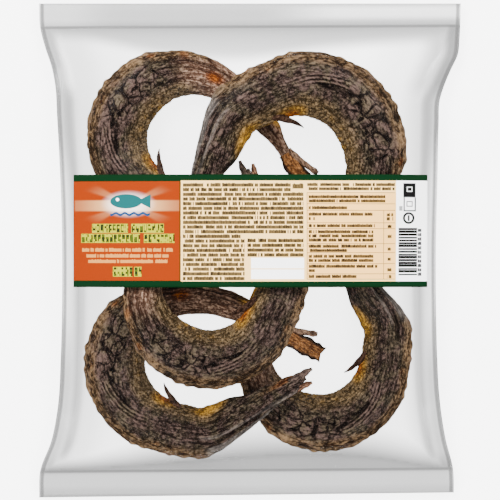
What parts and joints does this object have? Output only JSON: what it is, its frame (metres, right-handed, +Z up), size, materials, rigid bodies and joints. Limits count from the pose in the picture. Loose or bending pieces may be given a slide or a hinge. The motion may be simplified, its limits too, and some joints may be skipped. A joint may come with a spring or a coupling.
{
  "type": "sealed clear bag of smoked dried fish",
  "caption": "Flat clear film bag, welded across both ends, with whole smoked fish curled inside it and a long sticker across its front; it lies on its back.",
  "frame": {"origin": "centre of the bag's flat underside", "axes": "+X across the bag towards the barcode end of the sticker, +Y along the bag towards its top weld, +Z up out of the front"},
  "size_m": [0.253, 0.2964, 0.0448],
  "materials": {
    "clear_film": "clear glossy film, frosted where it is welded",
    "label_paper": "coated paper with a low sheen",
    "smoked_skin": "dry, wrinkled and scaly, with a low sheen"
  },
  "bodies": {
    "root": {"bag": "clear_film", "label": "label_paper"}
  },
  "joints": []
}
